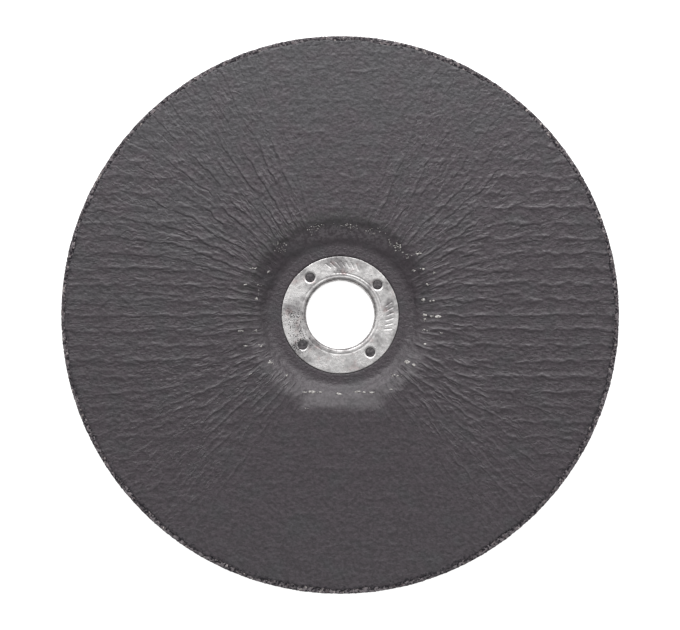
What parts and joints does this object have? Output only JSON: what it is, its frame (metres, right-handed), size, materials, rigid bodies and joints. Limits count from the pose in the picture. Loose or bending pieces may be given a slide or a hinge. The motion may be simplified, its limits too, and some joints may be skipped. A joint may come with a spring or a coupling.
{
  "type": "grinding disc",
  "caption": "Depressed-centre grinding disc for an angle grinder: a dished resin-bonded abrasive disc with a creased paper face and a flanged sheet metal bushing in its arbor hole.",
  "frame": {"origin": "centre of the arbor hole, on the back seat of the raised hub that the disc lies on", "axes": "+Z along the spin axis, out of the recessed work face; +Y towards the top of the picture and +X to its right, which set only the turn of the four key holes and the pleats"},
  "size_m": [0.18, 0.18, 0.0109],
  "materials": {
    "abrasive": "coarse resin-bonded aluminium oxide grain, matt",
    "plated_steel": "satin zinc plating with stains and fine scratches",
    "facing": "resin-soaked creased paper with a dull sheen"
  },
  "bodies": {
    "root": {"abrasive_body": "abrasive", "bushing": "plated_steel", "facing_paper": "facing"}
  },
  "joints": []
}
